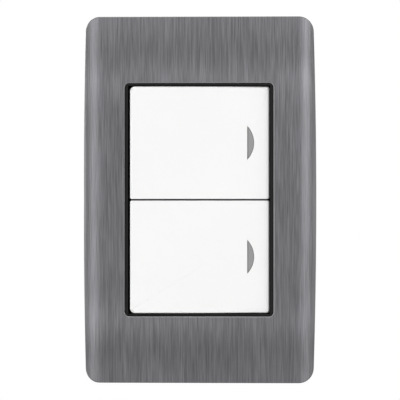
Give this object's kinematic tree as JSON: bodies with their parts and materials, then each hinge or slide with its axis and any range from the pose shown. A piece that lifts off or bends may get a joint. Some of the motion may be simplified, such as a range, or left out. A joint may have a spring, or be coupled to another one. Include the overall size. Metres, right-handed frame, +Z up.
{
  "type": "double light switch",
  "caption": "Upright wall plate of brushed metal with bowed sides, framing wide rocker switches that tip about an upright axis over snap-in modules.",
  "frame": {"origin": "centre of the plate on the plane of the wall, midway between the two box screws", "axes": "+X to the right and +Z up as the switch hangs on the wall; +Y goes into the wall, and the front looks along -Y"},
  "size_m": [0.0754, 0.0331, 0.118],
  "materials": {
    "brushed_plate": "brushed",
    "black_plastic": "satin",
    "white_plastic": "satin",
    "grey_plastic": "satin",
    "pale_plastic": "satin",
    "plated_steel": "zinc plated",
    "spring_steel": "drawn wire",
    "copper": "stamped",
    "brass": "stamped",
    "silver_tip": "polished"
  },
  "bodies": {
    "housing": {"face_plate": "brushed_plate", "cover_frame": "black_plastic", "mounting_frame": "black_plastic", "box_screws": "plated_steel", "upper_module_base": "pale_plastic", "upper_module_cover": "black_plastic", "upper_fixed_tip": "silver_tip", "upper_load_terminal": "brass", "upper_common_terminal": "brass", "upper_clamp_plates": "plated_steel", "upper_terminal_screws": "plated_steel", "lower_module_base": "pale_plastic", "lower_module_cover": "black_plastic", "lower_fixed_tip": "silver_tip", "lower_load_terminal": "brass", "lower_common_terminal": "brass", "lower_clamp_plates": "plated_steel", "lower_terminal_screws": "plated_steel"},
    "upper_rocker": {"upper_rocker_cap": "white_plastic", "upper_rocker_mark": "grey_plastic", "upper_rocker_arm": "pale_plastic", "upper_plunger_spring": "spring_steel"},
    "upper_plunger_pin": {"upper_plunger": "plated_steel"},
    "upper_contact": {"upper_contact_blade": "copper", "upper_moving_tip": "silver_tip"},
    "lower_rocker": {"lower_rocker_cap": "white_plastic", "lower_rocker_mark": "grey_plastic", "lower_rocker_arm": "pale_plastic", "lower_plunger_spring": "spring_steel"},
    "lower_plunger_pin": {"lower_plunger": "plated_steel"},
    "lower_contact": {"lower_contact_blade": "copper", "lower_moving_tip": "silver_tip"}
  },
  "joints": [
    {"name": "upper_rocker_tilt", "type": "hinge", "parent": "housing", "child": "upper_rocker", "pos_m": [0, -0.005, 0.01835], "axis": [0, 0, 1], "range_deg": [-7, 0]},
    {"name": "upper_plunger_slide", "type": "slide", "parent": "upper_rocker", "child": "upper_plunger_pin", "axis": [0.061, -0.9981, 0], "range_m": [0, 0.001], "stiffness_N_per_m": 300, "springref_m": -0.002, "deforming": ["upper_plunger_spring"]},
    {"name": "upper_contact_tilt", "type": "hinge", "parent": "housing", "child": "upper_contact", "pos_m": [0, 0.00895, 0.01835], "axis": [0, 0, 1], "range_deg": [0, 14]},
    {"name": "lower_rocker_tilt", "type": "hinge", "parent": "housing", "child": "lower_rocker", "pos_m": [0, -0.005, -0.01835], "axis": [0, 0, 1], "range_deg": [-7, 0]},
    {"name": "lower_plunger_slide", "type": "slide", "parent": "lower_rocker", "child": "lower_plunger_pin", "axis": [0.061, -0.9981, 0], "range_m": [0, 0.001], "stiffness_N_per_m": 300, "springref_m": -0.002, "deforming": ["lower_plunger_spring"]},
    {"name": "lower_contact_tilt", "type": "hinge", "parent": "housing", "child": "lower_contact", "pos_m": [0, 0.00895, -0.01835], "axis": [0, 0, 1], "range_deg": [0, 14]}
  ],
  "couplings": [
    {"joint": "upper_contact_tilt", "follows": "upper_rocker_tilt", "ratio": -2},
    {"joint": "lower_contact_tilt", "follows": "lower_rocker_tilt", "ratio": -2}
  ]
}
